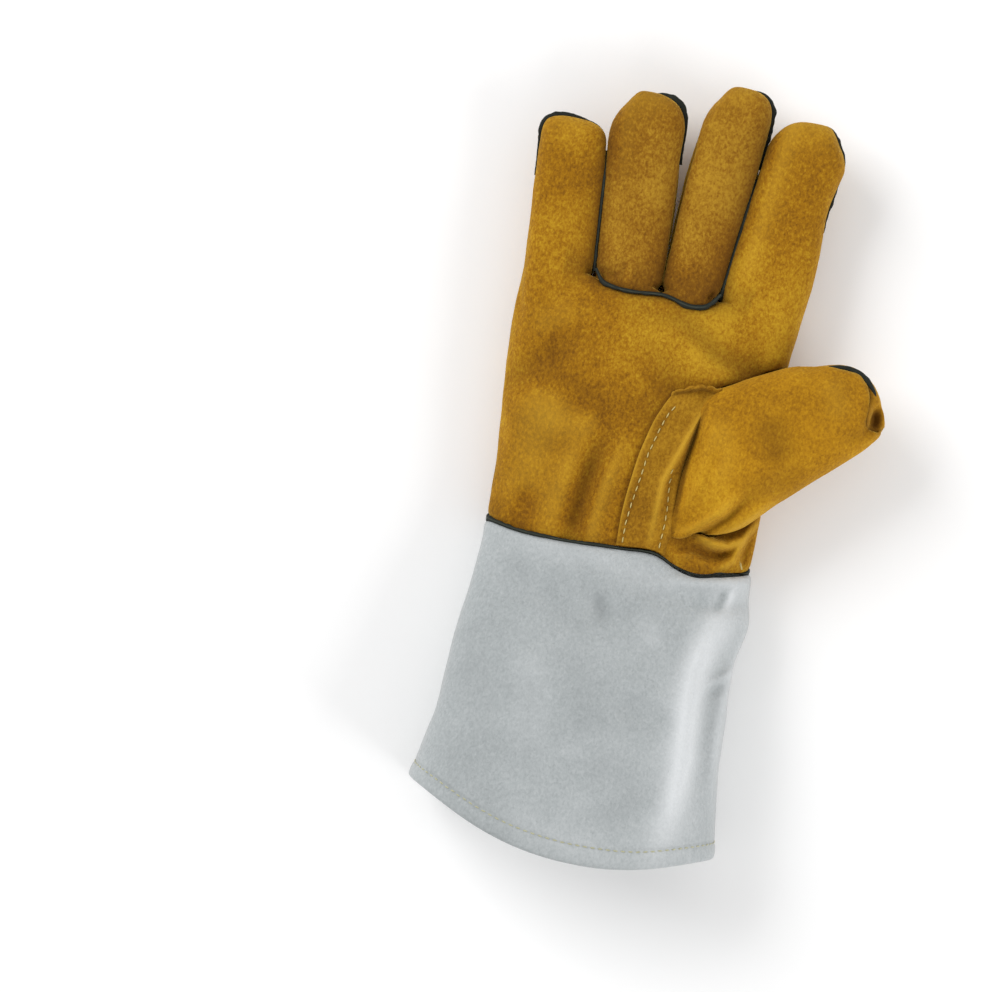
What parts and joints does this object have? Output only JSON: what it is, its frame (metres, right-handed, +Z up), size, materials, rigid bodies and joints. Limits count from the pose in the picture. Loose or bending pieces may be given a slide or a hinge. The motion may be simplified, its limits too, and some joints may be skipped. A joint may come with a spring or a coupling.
{
  "type": "leather welding glove",
  "caption": "Right-hand leather welding gauntlet lying on its back, palm up: hollow hand and fingers with black seam welts, set-in thumb with a strap, and a flared open cuff.",
  "frame": {"origin": "on the ground under the middle of the glove's bounding box, as it lies on its back", "axes": "+Y from the cuff's hem towards the fingertips, +X towards the thumb, +Z up out of the palm"},
  "size_m": [0.1802, 0.359, 0.0673],
  "materials": {
    "hand_leather": "golden tan split leather with a suede nap",
    "cuff_leather": "light grey split leather with a suede nap",
    "welt_leather": "black leather welt, matt"
  },
  "bodies": {
    "root": {"back_panel": "hand_leather", "palm_panel": "hand_leather", "ring_front": "hand_leather", "middle_front": "hand_leather", "fourchette_little_ring": "hand_leather", "fourchette_ring_middle": "hand_leather", "fourchette_middle_index": "hand_leather", "thumb_front": "hand_leather", "thumb_back": "hand_leather", "thumb_strap": "hand_leather", "gauntlet_cuff": "cuff_leather", "cuff_welt": "welt_leather", "knuckle_welt": "welt_leather", "little_tip_welt": "welt_leather", "ring_tip_welt": "welt_leather", "middle_tip_welt": "welt_leather", "index_tip_welt": "welt_leather", "thumb_welt": "welt_leather"}
  },
  "joints": []
}
